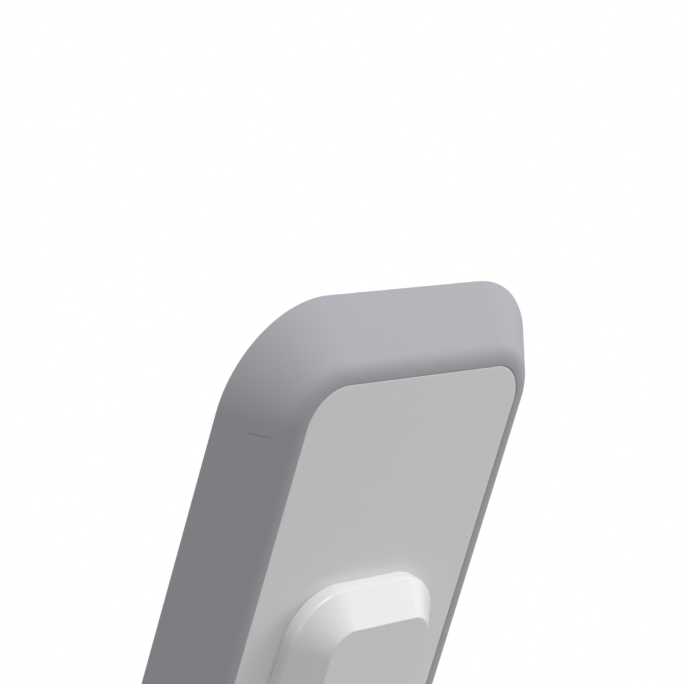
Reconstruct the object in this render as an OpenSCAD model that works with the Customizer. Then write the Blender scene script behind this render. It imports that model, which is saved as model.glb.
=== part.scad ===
/* [Head] */
// Width of the head across its front rim
head_w = 73.8; // [72:0.1:90]
// Distance from the ledge floor up to the head's top edge
head_reach = 116.8; // [112:0.1:130]
// Distance from the ledge floor down to the head's bottom edge
head_drop = 8; // [7.6:0.1:12]
// Lean of the head back from upright, in degrees
lean = 20; // [12:1:28]
// Corner radius of the head and of the base, seen flat
corner_r = 18.5; // [17.5:0.5:22]

/* [Bevelled edge] */
// How far the bevel takes each side in
bevel_in = 11.2; // [10.5:0.1:11.8]
// Height of the bevel from rim to flat plate
bevel_rise = 9; // [8.6:0.1:10]
// Radius that rolls the bevel into the flat plate
bevel_round = 5; // [2:0.5:6]
// Wall of the bevelled shells
shell_wall = 2.4; // [2.2:0.1:2.8]
// Width of the rim around the covers that close the shells
rim_w = 3.2; // [3:0.1:3.6]
// Width of the seat that those covers lie on
seat_w = 1.4; // [1:0.1:2]
// Thickness of the covers and of the inlaid plates
plate_t = 1.8; // [1.6:0.1:2]
// Width of the flange that an inlaid plate lies on
flange_w = 1.6; // [1.2:0.1:2]
// Thickness of that flange
flange_t = 1.2; // [1:0.1:1.4]

/* [Ledge] */
// Width of the ledge that the phone stands on
ledge_w = 46; // [30:1:48]
// Clear depth of the ledge between face and lip
ledge_depth = 13; // [12:0.5:16]
// Thickness of the ledge
ledge_t = 3.2; // [2.8:0.1:3.6]
// Thickness of the lip
lip_t = 2.6; // [2:0.1:3.4]
// Height of the lip above the ledge floor
lip_h = 6; // [5.6:0.1:7]

/* [Pads] */
// Thickness of the soft pads on face and ledge
pad_t = 1; // [0.8:0.1:1.1]
// Depth of the recesses that the soft pads and the foot pad lie in
pad_sunk = 0.6; // [0.4:0.1:0.7]
// Bare margin around the face pad
pad_margin = 3; // [2:0.5:5]

/* [Stem] */
// Width of the stem
stem_w = 34; // [32:1:40]
// Thickness of the stem
stem_t = 6.7; // [6.2:0.1:8]
// Height of the upright band along the foot of the stem's sides
stem_band = 2.3; // [1.4:0.1:3]
// How far the stem's own bevel takes its sides in
stem_bevel = 5.1; // [4:0.1:5.6]
// Corner radius of the stem's two ends
stem_r = 8; // [7:0.5:10]
// Height of the stem's top end above the ledge floor
stem_reach = 69; // [64:0.5:84]
// Radius of the inside of the stem's bend
stem_bend = 10; // [8:0.5:11]
// Width of the duct for the lead inside the stem
duct_w = 9; // [6:0.5:10]
// Height of the duct for the lead inside the stem
duct_h = 3.2; // [3:0.1:3.4]

/* [Base] */
// Width of the base
base_w = 78; // [76:0.5:100]
// Depth of the base from front to back
base_d = 92; // [90:0.5:104]
// Height of the upright land below the base's bevel
base_land = 3.5; // [3.3:0.1:5]
// Gap from the table to the underside of the base's shell
base_lift = 1; // [0.8:0.1:2]
// Clear height from the base's top to the head's bottom edge
head_gap = 6; // [4.5:0.5:9]
// How far the ledge's lip stays behind the base's front
front_margin = 2; // [0:0.5:3]
// Thickness of the iron ballast plate
ballast_t = 2.4; // [1.5:0.1:2.6]

/* [Charging parts] */
// Outer diameter of a charging coil
coil_d = 42; // [38:0.5:42]
// Inner diameter of a charging coil
coil_hole_d = 20; // [16:0.5:24]
// Turns of wire across a coil
coil_turns = 10; // [6:1:12]
// Thickness of a coil
coil_t = 1; // [0.8:0.1:1.1]
// Height of the lower coil's centre above the ledge floor
coil_low = 38; // [38:0.5:42]
// Height of the upper coil's centre above the ledge floor
coil_high = 74; // [70:0.5:75]
// Thickness of the ferrite sheet
ferrite_t = 0.6; // [0.4:0.1:0.7]
// Thickness of the circuit board
board_t = 1.2; // [0.8:0.1:1.4]
// Diameter of the lead that runs up the stem
lead_d = 2.4; // [1.6:0.1:2.6]

/* [Fasteners] */
// Shank diameter of every screw
screw_d = 2.4; // [2:0.1:2.6]
// Head diameter of every screw
screw_head_d = 4.4; // [4:0.1:4.6]
// Height of a screw's head
screw_head_h = 0.8; // [0.6:0.1:0.9]

/* [Hidden] */

fine = 96;
fit = 0.1;
touch = 0.02;
cut = 1;

shell_grey = [0.65, 0.65, 0.68];
plate_white = [0.9, 0.9, 0.9];
pad_dark = [0.24, 0.24, 0.26];
copper = [0.78, 0.46, 0.26];
steel = [0.66, 0.67, 0.69];
board_green = [0.1, 0.32, 0.2];
part_black = [0.09, 0.09, 0.1];
ceramic_tan = [0.55, 0.4, 0.26];
guide_clear = [0.85, 0.88, 0.9];

// Slope of the shells' bevel, tangent to the round that meets the plate
bevel_angle = atan2(bevel_rise - bevel_round, bevel_in)
    + asin(bevel_round / norm([bevel_in, bevel_rise - bevel_round]));

head_h = head_reach + head_drop;
head_mid = (head_reach - head_drop) / 2;
inlay_r = corner_r - bevel_in;
cover_r = corner_r - rim_w;
base_h = base_land + bevel_rise;
base_top = base_lift + base_h;
base_floor = base_lift + plate_t;

// The ledge floor's line on the face, in the base's own frame
seat_y = front_margin - base_d / 2 + (ledge_depth + lip_t) * cos(lean) + ledge_t * sin(lean);
seat_z = base_top + head_gap + head_drop * cos(lean);

// Axis of the stem's bend, which runs across the stand
bend_outer = stem_bend + stem_t;
bend_z = base_top + bend_outer;
bend_run = (bend_z - seat_z + (bevel_rise + bend_outer) * sin(lean)) / cos(lean);
bend_y = seat_y + bend_run * sin(lean) + (bevel_rise + bend_outer) * cos(lean);
foot_margin = 5;
foot_run = base_d / 2 - bevel_in - foot_margin - bend_y;
arm_run = stem_reach - bend_run;

// Depths inside the head, measured back from its front rim
coil_low_z = plate_t + touch;
coil_high_z = coil_low_z + coil_t + touch;
ferrite_z = coil_high_z + coil_t + touch;
carrier_z = ferrite_z + ferrite_t + touch;
plate_z = bevel_rise - plate_t;
carrier_t = plate_z - carrier_z - touch;

// Outline of the face pad, from above the lip up to the bare margin
pad_above_lip = 2;
pad_low = lip_h + pad_above_lip;
pad_high = head_reach - rim_w - pad_margin;
pad_mid = (pad_low + pad_high) / 2;
pad_l = pad_high - pad_low;
pad_w = head_w - 2 * (rim_w + pad_margin);
pad_r = cover_r - pad_margin;
foot_pad_margin = 2.6;
foot_pad_in = rim_w + foot_pad_margin;
foot_hole_gap = 0.8;

// The strip on the ledge keeps this far from face and lip
ledge_pad_in = 1.5;
ledge_pad_r = 2;

// Screw lugs near the ends of each shell's straight sides
lug_r = 3.1;
lug_in = 12.2;
lug_down = 2;
lug_gap = 0.4;
screw_end_gap = 0.6;
head_lug_z = 4.4;
socket_af = 1.6;
socket_deep = 0.4;

// Small round along the edge between the stem's band and its bevel
stem_edge_r = 0.8;

// Screws that hold the stem, either side of its duct
stem_screw_x = 8.8;
stem_screw_skin = 2;
arm_screw_low = 6;
foot_screw_near = 4;
end_screw_in = 9;

// Ferrite, carrier and terminals
ferrite_r = 3;
ferrite_side = 0.2;
ferrite_end = 0.6;
ferrite_low = coil_low - coil_d / 2 - ferrite_end;
ferrite_high = coil_high + coil_d / 2 + ferrite_end;
carrier_gap = 0.5;
terminal_w = 12;
terminal_h = 5.6;
terminal_gap = 0.8;
terminal_top = ferrite_low - terminal_gap;
terminal_rise = 2.5;
terminal_back = carrier_z + terminal_rise;
tail_d = 0.8;
tail_x = 3;
tail_hole_d = 2;
tail_hole_deep = 0.8;
bead = [3, 4, 0.9];
bead_leg_d = 0.5;
bead_leg_x = 0.9;
pocket_side = 0.4;

// The lead's way out of the stem into the head, a half turn
duct_z = (stem_t - duct_h) / 2;
lead_in_z = carrier_z + lead_d / 2 + fit;
lead_turn_r = (bevel_rise + stem_t / 2 - lead_in_z) / 2;
lead_start = 0.5;
lead_turn_y = max(terminal_top + touch, bend_run + lead_start);
lead_sides = 8;
lead_gap = 0.4;
window_w = lead_d + 4 * lead_gap;
window_low = lead_turn_y + lead_gap / 2;
window_high = lead_turn_y + lead_turn_r + lead_d / 2 + lead_gap;

// The lead's way down from the stem's foot to the board
lead_drop_r = 3;
lead_drop_y = 9;
drop_y = bend_y + lead_drop_y;
drop_window = lead_d + 6 * lead_gap;

// Driver board and what stands on it, in the base's own frame
board_w = 45;
board_gap = 2;
terminal_board = [8, 5, 2.2];
terminal_in = 2.3;
socket_w = 8.94;
socket_h = 3.26;
socket_l = 7.3;
socket_r = 1.6;
socket_skin = 0.3;
socket_back = 1;
tongue_w = 6.7;
tongue_t = 0.7;
tongue_in = 0.8;
tongue_root = 1.4;
pocket_w = 13.4;
pocket_h = 6.6;
pocket_deep = 7.5;
pocket_wall = 1.2;
pocket_z = base_floor + pocket_wall + pocket_h / 2;
pocket_y = base_d / 2 - pocket_deep;
board_top = pocket_z - socket_h / 2 - touch;
board_z = board_top - board_t;
board_back = pocket_y - board_gap;
board_front = drop_y - terminal_board[1] / 2 - terminal_in;
board_d = board_back - board_front;
standoff_d = 4;
standoff_in = 3;
board_screw_d = 1.6;
board_screw_head_d = 3;
board_screw_skin = 0.4;
board_screw_l = board_t + board_z - base_floor;
flange_z = base_top - plate_t - flange_t;
ballast_z = flange_z - ballast_t - touch;
ballast_gap = 0.5;
guide_w = 3;
guide_h = 1.6;
led = [1.6, 0.8, 0.7];
led_in = 0.1;

// Parts on the board: the chip and the inductor before its middle, the capacitors behind it
chip = [7, 7, 0.9];
chip_dot_d = 0.6;
chip_dot_in = 1;
chip_dot_deep = 0.1;
inductor_w = 6.4;
inductor_r = 1;
inductor_h = 1.6;
inductor_crown_d = 5;
inductor_crown_h = 0.4;
chip_ahead = 2;
capacitor = [3.2, 1.6, 1.6];
capacitor_gap = 1.8;
capacitor_behind = 5;
capacitors = 4;

function bevel_x(h) = shell_wall * sin(bevel_angle)
    + (h + shell_wall * cos(bevel_angle)) / tan(bevel_angle);
function bevel_h(x) = (x - shell_wall * sin(bevel_angle)) * tan(bevel_angle)
    - shell_wall * cos(bevel_angle);

// A rounded rectangle centred on the origin
module rounded(w, h, r) {
    square([w - 2 * r, h], center = true);
    square([w, h - 2 * r], center = true);
    for (x = [-1, 1], y = [-1, 1])
        translate([x * (w / 2 - r), y * (h / 2 - r)])
            circle(r, $fn = fine);
}

module round_plate(w, h, r, t) {
    linear_extrude(t)
        rounded(w, h, r);
}

// A slab with the child section carried all round a rounded rectangle.
// The section stands on X, from a corner's centre out to the edge.
module slab(w, h, r, rise) {
    x = w / 2 - r;
    y = h / 2 - r;
    translate([-x, -y, 0])
        cube([2 * x, 2 * y, rise]);
    for (turn = [0, 180])
        rotate([0, 0, turn]) {
            translate([x, y, 0])
                rotate([90, 0, 0])
                    linear_extrude(2 * y)
                        children();
            translate([-x, y, 0])
                rotate([90, 0, 90])
                    linear_extrude(2 * x)
                        children();
            translate([x, y, 0])
                rotate_extrude(angle = 90, $fn = fine)
                    children();
            translate([-x, y, 0])
                rotate([0, 0, 90])
                    rotate_extrude(angle = 90, $fn = fine)
                        children();
        }
}

// Upright land, flat bevel and the round that meets the plate
module shell_section(land) {
    rise = land + bevel_rise;
    round_x = corner_r - bevel_in;
    round_z = rise - bevel_round;
    polygon(concat(
        [[0, 0], [corner_r, 0]],
        land > 0 ? [[corner_r, land]] : [],
        [
            [round_x + bevel_round * sin(bevel_angle), round_z + bevel_round * cos(bevel_angle)],
            [round_x, rise],
            [0, rise]
        ]
    ));
    intersection() {
        translate([round_x, round_z])
            circle(bevel_round, $fn = fine);
        square([corner_r, rise]);
    }
}

// The hollow under the bevel, from the cover's seat up to the flange
module hollow(w, h, land) {
    top = land + bevel_rise - plate_t - flange_t;
    low_x = max(bevel_x(plate_t - land), rim_w + seat_w);
    knee = bevel_h(low_x) + land;
    high_x = bevel_x(top - land);
    r = corner_r - low_x;
    translate([0, 0, plate_t - touch])
        slab(w - 2 * low_x, h - 2 * low_x, r, top - plate_t + touch)
            polygon(concat(
                [[0, 0], [r, 0]],
                knee > plate_t + touch ? [[r, knee - plate_t + touch]] : [],
                [[corner_r - high_x, top - plate_t + touch], [0, top - plate_t + touch]]
            ));
}

module bevelled_slab(w, h, land) {
    slab(w, h, corner_r, land + bevel_rise)
        shell_section(land);
}

// A bevelled shell, open for a cover below and for an inlaid plate above
module shell(w, h, land) {
    rise = land + bevel_rise;
    opening_in = bevel_in + flange_w;
    difference() {
        bevelled_slab(w, h, land);
        hollow(w, h, land);
        translate([0, 0, -cut])
            round_plate(w - 2 * rim_w, h - 2 * rim_w, cover_r, cut + plate_t);
        translate([0, 0, rise - plate_t])
            round_plate(w - 2 * bevel_in, h - 2 * bevel_in, inlay_r, plate_t + cut);
        translate([0, 0, plate_t])
            round_plate(w - 2 * opening_in, h - 2 * opening_in, corner_r - opening_in, rise);
    }
}

module inlay(w, h) {
    round_plate(w - 2 * (bevel_in + fit), h - 2 * (bevel_in + fit), inlay_r - fit, plate_t);
}

module cover(w, h) {
    round_plate(w - 2 * (rim_w + fit), h - 2 * (rim_w + fit), cover_r - fit, plate_t);
}

module at_lugs(w, h) {
    for (x = [-1, 1], y = [-1, 1])
        translate([x * (w / 2 - lug_in), y * (h / 2 - corner_r - lug_down), 0])
            children();
}

// Room for the lugs in a plate between them, open to its side edge
module lug_notches(w, h, t) {
    side = lug_r + lug_gap;
    for (x = [0, 1], y = [-1, 1])
        mirror([x, 0, 0])
            translate([w / 2 - lug_in, y * (h / 2 - corner_r - lug_down), -cut]) {
                cylinder(r = side, h = t + 2 * cut, $fn = fine);
                translate([0, -side, 0])
                    cube([lug_in, 2 * side, t + 2 * cut]);
            }
}

// A pan head with a hexagon socket on Z = 0, and its shank above
module screw(length, shank_d = screw_d, head_d = screw_head_d) {
    difference() {
        cylinder(d = head_d, h = screw_head_h, $fn = fine);
        translate([0, 0, -cut])
            cylinder(d = socket_af, h = cut + socket_deep, $fn = 6);
    }
    translate([0, 0, screw_head_h])
        cylinder(d = shank_d, h = length, $fn = fine);
}

// The head's frame: Y runs up the face from the ledge floor, Z back from the front rim
module head_frame() {
    translate([0, seat_y, seat_z])
        rotate([90 + lean, 0, 180])
            children();
}

module head_centre() {
    head_frame()
        translate([0, head_mid, 0])
            children();
}

// Grey bevelled frame of the head, with lugs that the front is screwed to
module head_shell() {
    color(shell_grey)
        head_centre()
            difference() {
                union() {
                    shell(head_w, head_h, 0);
                    at_lugs(head_w, head_h)
                        translate([0, 0, head_lug_z + touch])
                            cylinder(r = lug_r, h = plate_z - head_lug_z - touch, $fn = fine);
                }
                at_lugs(head_w, head_h)
                    translate([0, 0, head_lug_z - cut])
                        cylinder(
                            d = screw_d + touch,
                            h = plate_z - screw_end_gap - head_lug_z + cut,
                            $fn = fine
                        );
            }
}

// Outline of the ledge and lip seen from the side: X forward of the rim, Y up the face
module ledge_outline() {
    reach = ledge_depth + lip_t;
    tip_r = lip_t / 2;
    root_r = ledge_t / 2;
    translate([-plate_t, -ledge_t])
        square([plate_t + reach - root_r, ledge_t]);
    translate([reach - root_r, -root_r])
        circle(root_r, $fn = fine);
    translate([ledge_depth, -root_r])
        square([lip_t, root_r + lip_h - tip_r]);
    translate([ledge_depth + tip_r, lip_h - tip_r])
        circle(tip_r, $fn = fine);
}

// The soft strip on the ledge, or with a gap the recess that it lies in
module ledge_strip(gap, t) {
    head_frame()
        translate([0, -pad_sunk, -ledge_depth / 2])
            rotate([-90, 0, 0])
                round_plate(
                    ledge_w - 2 * (pad_margin - gap),
                    ledge_depth - 2 * (ledge_pad_in - gap),
                    ledge_pad_r + gap,
                    t
                );
}

// Front cover with the phone's ledge and lip moulded on
module head_front() {
    color(shell_grey)
        difference() {
            union() {
                head_centre() {
                    cover(head_w, head_h);
                    at_lugs(head_w, head_h)
                        cylinder(r = lug_r, h = head_lug_z, $fn = fine);
                }
                head_frame()
                    translate([-ledge_w / 2, 0, 0])
                        rotate([0, 90, 0])
                            linear_extrude(ledge_w)
                                ledge_outline();
            }
            head_frame()
                translate([0, pad_mid, -cut])
                    round_plate(pad_w + 2 * fit, pad_l + 2 * fit, pad_r + fit, cut + pad_sunk);
            ledge_strip(fit, pad_sunk + cut);
            head_centre()
                at_lugs(head_w, head_h) {
                    cylinder(d = screw_head_d + 2 * fit, h = pad_sunk + screw_head_h + fit, $fn = fine);
                    translate([0, 0, -cut])
                        cylinder(d = screw_d + 2 * fit, h = head_lug_z + 2 * cut, $fn = fine);
                }
        }
}

// Soft pad that the phone's back leans on
module face_pad() {
    color(pad_dark)
        head_frame()
            translate([0, pad_mid, pad_sunk - pad_t])
                round_plate(pad_w, pad_l, pad_r, pad_t);
}

// Soft strip that the phone's lower edge stands on
module ledge_pad() {
    color(pad_dark)
        ledge_strip(0, pad_t);
}

module stem_screw_places() {
    for (x = [-1, 1], y = [arm_screw_low, arm_run - end_screw_in])
        translate([x * stem_screw_x, bend_run + y, 0])
            children();
}

// White plate inlaid in the head's back, which carries the stem
module head_back_plate() {
    color(plate_white)
        difference() {
            head_centre()
                translate([0, 0, plate_z])
                    inlay(head_w, head_h);
            head_frame() {
                stem_screw_places()
                    translate([0, 0, plate_z - cut])
                        cylinder(d = screw_d + 2 * fit, h = plate_t + 2 * cut, $fn = fine);
                translate([-window_w / 2, window_low, plate_z - cut])
                    cube([window_w, window_high - window_low, plate_t + 2 * cut]);
            }
        }
}

// A flat coil: its turns show as ridges, and two tails run down to the terminal
module coil(y, z) {
    pitch = (coil_d - coil_hole_d) / 2 / coil_turns;
    ridge = 0.2;
    color(copper)
        head_frame() {
            translate([0, y, z])
                rotate_extrude($fn = fine)
                    polygon(concat(
                        [for (k = [0 : coil_turns - 1], s = [0, 1])
                            [coil_hole_d / 2 + (k + s / 2) * pitch, s * ridge]],
                        [[coil_d / 2, 0]],
                        [for (k = [coil_turns - 1 : -1 : 0], s = [1, 0])
                            [coil_hole_d / 2 + (k + s / 2) * pitch, coil_t - s * ridge]]
                    ));
            for (x = [-1, 1])
                translate([x * tail_x, terminal_top, z + coil_t / 2])
                    rotate([-90, 0, 0])
                        cylinder(d = tail_d, h = y - terminal_top - (coil_d + coil_hole_d) / 4, $fn = fine);
        }
}

module coil_upper() {
    coil(coil_high, coil_high_z);
}

module coil_lower() {
    coil(coil_low, coil_low_z);
}

// Ferrite sheet behind both coils
module ferrite_sheet() {
    color(part_black)
        head_frame()
            translate([0, (ferrite_low + ferrite_high) / 2, ferrite_z])
                round_plate(coil_d + 2 * ferrite_side, ferrite_high - ferrite_low, ferrite_r, ferrite_t);
}

// Moulded tray that holds coils and ferrite against the front
module coil_carrier() {
    side = bevel_in + flange_w + carrier_gap;
    slot_w = window_w + 2 * pocket_side;
    color(part_black)
        difference() {
            head_centre()
                translate([0, 0, carrier_z]) {
                    difference() {
                        round_plate(head_w - 2 * side, head_h - 2 * side, corner_r - side, carrier_t);
                        lug_notches(head_w, head_h, carrier_t);
                    }
                }
            head_frame()
                translate([0, 0, carrier_z - cut]) {
                    stem_screw_places()
                        cylinder(d = screw_head_d + 2 * pocket_side, h = carrier_t + 2 * cut, $fn = fine);
                    translate([-terminal_w / 2 - pocket_side, terminal_top - terminal_h - pocket_side, 0])
                        cube([
                            terminal_w + 2 * pocket_side,
                            terminal_h + 2 * pocket_side,
                            carrier_t + 2 * cut
                        ]);
                    translate([-slot_w / 2, terminal_top, 0])
                        cube([slot_w, window_high + pocket_side - terminal_top, carrier_t + 2 * cut]);
                    translate([-bead[0] / 2 - pocket_side, terminal_top, 0])
                        cube([
                            bead[0] + 2 * pocket_side,
                            coil_low - terminal_top + bead[1] / 2 + pocket_side,
                            carrier_t + 2 * cut
                        ]);
                    translate([0, coil_high, 0])
                        cylinder(d = coil_hole_d, h = carrier_t + 2 * cut, $fn = fine);
                }
        }
}

// Heat sensor on the ferrite at the lower coil's centre, with its two legs
module thermistor() {
    color(part_black)
        head_frame()
            translate([0, 0, carrier_z]) {
                translate([-bead[0] / 2, coil_low - bead[1] / 2, 0])
                    cube(bead);
                for (x = [-1, 1])
                    translate([x * bead_leg_x, window_high + pocket_side, bead[2] / 2])
                        rotate([-90, 0, 0])
                            cylinder(d = bead_leg_d, h = coil_low - window_high - pocket_side, $fn = fine);
            }
}

// Screws under the face pad that hold the front to the frame
module head_screws() {
    color(steel)
        head_centre()
            at_lugs(head_w, head_h)
                translate([0, 0, pad_sunk + touch])
                    screw(plate_z - pad_sunk - screw_head_h - 2 * screw_end_gap);
}

// Screws from inside the head through the back plate into the stem
module stem_head_screws() {
    color(steel)
        head_frame()
            stem_screw_places()
                translate([0, 0, plate_z - screw_head_h - touch])
                    screw(plate_t + stem_t - stem_screw_skin - touch);
}

// Half the stem's outline, from the middle of an end corner out to the edge
module stem_section() {
    slope = atan2(stem_t - stem_band, stem_bevel);
    turn = 90 - slope;
    band = stem_band - stem_edge_r * tan(turn / 2);
    polygon([
        [0, 0],
        [stem_r, 0],
        [stem_r, band],
        [stem_r - stem_edge_r + stem_edge_r * sin(slope), band + stem_edge_r * cos(slope)],
        [stem_r - stem_bevel, stem_t],
        [0, stem_t]
    ]);
    translate([stem_r - stem_edge_r, band])
        circle(stem_edge_r, $fn = fine);
}

// One straight arm of the stem, with a bevelled round end
module stem_arm(run) {
    x = stem_w / 2 - stem_r;
    translate([-x, 0, 0])
        cube([2 * x, run - stem_r, stem_t]);
    translate([-x, run - stem_r, 0])
        rotate([90, 0, 90])
            linear_extrude(2 * x)
                stem_section();
    for (side = [0, 1])
        mirror([side, 0, 0])
            translate([x, run - stem_r, 0]) {
                rotate([90, 0, 0])
                    linear_extrude(run - stem_r)
                        stem_section();
                rotate_extrude(angle = 90, $fn = fine)
                    stem_section();
            }
}

// The child outline, X across and Y out from the root, swept round the bend from the foot up
module bend_sweep() {
    translate([0, bend_y, bend_z])
        rotate([90, 0, 90])
            rotate([0, 0, -90])
                rotate_extrude(angle = -90 - lean, $fn = fine)
                    translate([bend_outer, 0])
                        rotate(90)
                            children();
}

module stem_bend_outline() {
    x = stem_w / 2 - stem_r;
    translate([-x, 0])
        square([2 * x, stem_t]);
    for (side = [0, 1])
        mirror([side, 0])
            translate([x, 0])
                stem_section();
}

module foot_screw_places() {
    for (x = [-1, 1], y = [foot_screw_near, foot_run - end_screw_in])
        translate([x * stem_screw_x, bend_y + y, 0])
            children();
}

// The closed duct that runs right round the bend inside the stem
module stem_duct() {
    head_frame()
        translate([-duct_w / 2, bend_run, bevel_rise + duct_z])
            cube([duct_w, arm_run - end_screw_in, duct_h]);
    bend_sweep()
        translate([-duct_w / 2, duct_z])
            square([duct_w, duct_h]);
    translate([-duct_w / 2, bend_y, base_top + duct_z])
        cube([duct_w, foot_run - end_screw_in, duct_h]);
}

module stem_body() {
    union() {
        bend_sweep()
            stem_bend_outline();
        translate([0, bend_y, base_top])
            stem_arm(foot_run);
    }
    head_frame()
        translate([0, bend_run, bevel_rise])
            stem_arm(arm_run);
}

// White stem: flat on the head's back, bent round, and flat on the base
module stem() {
    bore_h = cut + stem_t - stem_screw_skin + screw_end_gap;
    way_in = cut + duct_z + duct_h / 2;
    color(plate_white)
        difference() {
            stem_body();
            stem_duct();
            head_frame() {
                translate([-window_w / 2, window_low, bevel_rise - cut])
                    cube([window_w, window_high - window_low, way_in]);
                stem_screw_places()
                    translate([0, 0, bevel_rise - cut])
                        cylinder(d = screw_d + touch, h = bore_h, $fn = fine);
            }
            translate([-drop_window / 2, drop_y - drop_window / 2, base_top - cut])
                cube([drop_window, drop_window, way_in]);
            foot_screw_places()
                translate([0, 0, base_top - cut])
                    cylinder(d = screw_d + touch, h = bore_h, $fn = fine);
        }
}

module lead_section() {
    rotate(180 / lead_sides)
        circle(d = lead_d, $fn = lead_sides);
}

// The lead inside the stem, from the coil terminal down to the board terminal
module stem_lead() {
    mid = stem_t / 2;
    drop_low = board_top + terminal_board[2] + 2 * touch;
    color(part_black) {
        head_frame() {
            translate([0, lead_turn_y, bevel_rise + mid])
                rotate([90, 0, 0])
                    linear_extrude(lead_turn_y - bend_run)
                        lead_section();
            translate([0, lead_turn_y, bevel_rise + mid - lead_turn_r])
                rotate([0, 90, 0])
                    rotate_extrude(angle = 180, $fn = fine)
                        translate([lead_turn_r, 0])
                            lead_section();
        }
        bend_sweep()
            translate([0, mid])
                lead_section();
        translate([0, drop_y - lead_drop_r, base_top + mid])
            rotate([90, 0, 0])
                linear_extrude(lead_drop_y - lead_drop_r)
                    lead_section();
        translate([0, drop_y - lead_drop_r, base_top + mid - lead_drop_r])
            rotate([90, 0, 90])
                rotate_extrude(angle = 90, $fn = fine)
                    translate([lead_drop_r, 0])
                        lead_section();
        translate([0, drop_y, drop_low])
            linear_extrude(base_top + mid - lead_drop_r - drop_low)
                lead_section();
    }
}

// Terminal block in the head where the coils' tails meet the lead
module coil_terminal() {
    low = coil_low_z;
    color(plate_white)
        head_frame()
            translate([-terminal_w / 2, terminal_top - terminal_h, low])
                difference() {
                    cube([terminal_w, terminal_h, terminal_back - low]);
                    for (x = [-1, 1])
                        translate([
                            terminal_w / 2 + x * tail_x,
                            terminal_h / 2,
                            terminal_back - low - tail_hole_deep
                        ])
                            cylinder(d = tail_hole_d, h = cut + tail_hole_deep, $fn = fine);
                }
}

// Terminal block on the driver board, under the lead
module board_terminal() {
    color(plate_white)
        on_board(-terminal_board[0] / 2, terminal_in)
            cube(terminal_board);
}

module lift_base() {
    translate([0, 0, base_lift])
        children();
}

module port_pocket(side, back) {
    translate([
        -pocket_w / 2 - side,
        pocket_y - back,
        pocket_z - pocket_h / 2 - side
    ])
        cube([pocket_w + 2 * side, pocket_deep + back + cut, pocket_h + 2 * side]);
}

module socket_outline(skin) {
    rounded(socket_w - 2 * skin, socket_h - 2 * skin, socket_r - skin);
}

// Axis of the power socket: Z points into the base from its mouth
module at_socket() {
    translate([0, pocket_y, pocket_z])
        rotate([90, 0, 0])
            children();
}

module guide_path(gap) {
    translate([-guide_w / 2 - gap, -base_d / 2 - cut, board_top - gap])
        cube([guide_w + 2 * gap, board_front - touch + base_d / 2 + cut, guide_h + 2 * gap]);
}

// Grey bevelled frame of the base, with the port's pocket at the back
module base_shell() {
    lug_low = base_floor + touch;
    color(shell_grey)
        difference() {
            union() {
                lift_base()
                    shell(base_w, base_d, base_land);
                at_lugs(base_w, base_d)
                    translate([0, 0, lug_low])
                        cylinder(r = lug_r, h = flange_z + flange_t - lug_low, $fn = fine);
                intersection() {
                    port_pocket(pocket_wall - touch, pocket_wall);
                    lift_base()
                        bevelled_slab(base_w, base_d, base_land);
                }
            }
            port_pocket(0, 0);
            at_socket()
                translate([0, 0, -touch])
                    linear_extrude(pocket_wall + 2 * touch)
                        socket_outline(-fit);
            guide_path(fit);
            at_lugs(base_w, base_d)
                translate([0, 0, base_floor - cut])
                    cylinder(
                        d = screw_d + touch,
                        h = flange_z + flange_t - screw_end_gap - base_floor + cut,
                        $fn = fine
                    );
        }
}

// White plate inlaid in the base's top, which the stem stands on
module base_top_plate() {
    color(plate_white)
        difference() {
            translate([0, 0, base_top - plate_t])
                inlay(base_w, base_d);
            foot_screw_places()
                translate([0, 0, base_top - plate_t - cut])
                    cylinder(d = screw_d + 2 * fit, h = plate_t + 2 * cut, $fn = fine);
            translate([-drop_window / 2, drop_y - drop_window / 2, base_top - plate_t - cut])
                cube([drop_window, drop_window, plate_t + 2 * cut]);
        }
}

// Iron plate that weighs the base and clamps the top plate to its flange
module ballast_plate() {
    wide = bevel_x(bevel_rise - plate_t - flange_t) + ballast_gap;
    step = bevel_in + flange_w + ballast_gap;
    port_w = pocket_w + 2 * (pocket_wall + ballast_gap);
    all_t = ballast_t + flange_t;
    color(steel)
        difference() {
            translate([0, 0, ballast_z]) {
                difference() {
                    union() {
                        round_plate(base_w - 2 * wide, base_d - 2 * wide, corner_r - wide, ballast_t);
                        round_plate(base_w - 2 * step, base_d - 2 * step, corner_r - step, all_t);
                    }
                    lug_notches(base_w, base_d, all_t);
                }
            }
            foot_screw_places()
                translate([0, 0, ballast_z - cut]) {
                    cylinder(d = screw_d + 2 * fit, h = all_t + 2 * cut, $fn = fine);
                    cylinder(d = screw_head_d + 4 * fit, h = cut + screw_head_h + fit, $fn = fine);
                }
            translate([-drop_window / 2, drop_y - drop_window / 2, ballast_z - cut])
                cube([drop_window, drop_window, all_t + 2 * cut]);
            translate([-port_w / 2, pocket_y - socket_l - ballast_gap, ballast_z - cut])
                cube([port_w, socket_l + pocket_deep, all_t + 2 * cut]);
        }
}

// Bottom cover with standoffs for the board and a recess for the foot pad
module base_bottom() {
    color(part_black)
        difference() {
            union() {
                lift_base()
                    cover(base_w, base_d);
                board_corners()
                    translate([0, 0, base_floor - touch])
                        cylinder(d = standoff_d, h = board_z - base_floor, $fn = fine);
            }
            translate([0, 0, base_lift - cut])
                round_plate(
                    base_w - 2 * foot_pad_in + 2 * fit,
                    base_d - 2 * foot_pad_in + 2 * fit,
                    corner_r - foot_pad_in + fit,
                    cut + pad_sunk
                );
            at_lugs(base_w, base_d)
                translate([0, 0, base_lift - cut])
                    cylinder(d = screw_d + 2 * fit, h = plate_t + 2 * cut, $fn = fine);
            board_corners()
                translate([0, 0, base_lift + pad_sunk + board_screw_skin])
                    cylinder(d = board_screw_d + touch, h = plate_t + board_z, $fn = fine);
        }
}

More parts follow.
